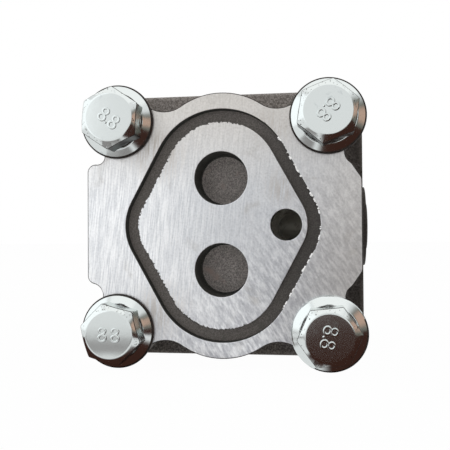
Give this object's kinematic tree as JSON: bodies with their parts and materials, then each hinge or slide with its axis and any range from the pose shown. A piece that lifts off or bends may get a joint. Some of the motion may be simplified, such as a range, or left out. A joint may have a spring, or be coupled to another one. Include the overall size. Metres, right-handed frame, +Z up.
{
  "type": "hydraulic gear pump",
  "caption": "Square cast iron gear pump with flange bolts, side ports, a splined shaft in a round pilot and a machined rear face with a rhombic seal groove.",
  "frame": {"origin": "centre of the square bolt pattern, on the mounting face", "axes": "+Y out of the mounting face along the shafts, +Z up from the idler shaft to the drive shaft, +X to the right when the rear face is looked at"},
  "size_m": [0.0724, 0.1007, 0.0688],
  "materials": {
    "casting": "as cast, with bright milled joint faces",
    "ground_steel": "ground and hardened",
    "bearing_bronze": "turned",
    "seal_rubber": "moulded",
    "spring_steel": "phosphated black",
    "zinc_plate": "bright zinc plated"
  },
  "bodies": {
    "housing": {"rear_cover": "casting", "gear_body": "casting", "mounting_cover": "casting", "rear_dowel_left": "ground_steel", "rear_dowel_right": "ground_steel", "front_dowel_left": "ground_steel", "front_dowel_right": "ground_steel", "drive_rear_bush": "bearing_bronze", "drive_front_bush": "bearing_bronze", "idler_rear_bush": "bearing_bronze", "idler_front_bush": "bearing_bronze", "rear_wear_plate": "bearing_bronze", "front_wear_plate": "bearing_bronze", "rear_pressure_seal": "seal_rubber", "front_pressure_seal": "seal_rubber", "rear_body_seal": "seal_rubber", "front_body_seal": "seal_rubber", "pilot_o_ring": "seal_rubber", "shaft_seal_lip": "seal_rubber", "shaft_seal_case": "spring_steel", "garter_spring": "spring_steel", "seal_retaining_ring": "spring_steel", "flange_bolt_top_left": "zinc_plate", "flange_bolt_top_right": "zinc_plate", "flange_bolt_bottom_left": "zinc_plate", "flange_bolt_bottom_right": "zinc_plate"},
    "drive": {"drive_shaft": "ground_steel", "drive_gear": "ground_steel", "drive_key": "ground_steel"},
    "idler": {"idler_shaft": "ground_steel", "idler_gear": "ground_steel", "idler_key": "ground_steel"}
  },
  "joints": [
    {"name": "drive_spin", "type": "hinge", "parent": "housing", "child": "drive", "pos_m": [0, 0, 0.011], "axis": [0, 1, 0], "continuous": true},
    {"name": "idler_spin", "type": "hinge", "parent": "housing", "child": "idler", "pos_m": [0, 0, -0.011], "axis": [0, 1, 0], "continuous": true}
  ],
  "couplings": [
    {"joint": "idler_spin", "follows": "drive_spin", "ratio": -1}
  ]
}
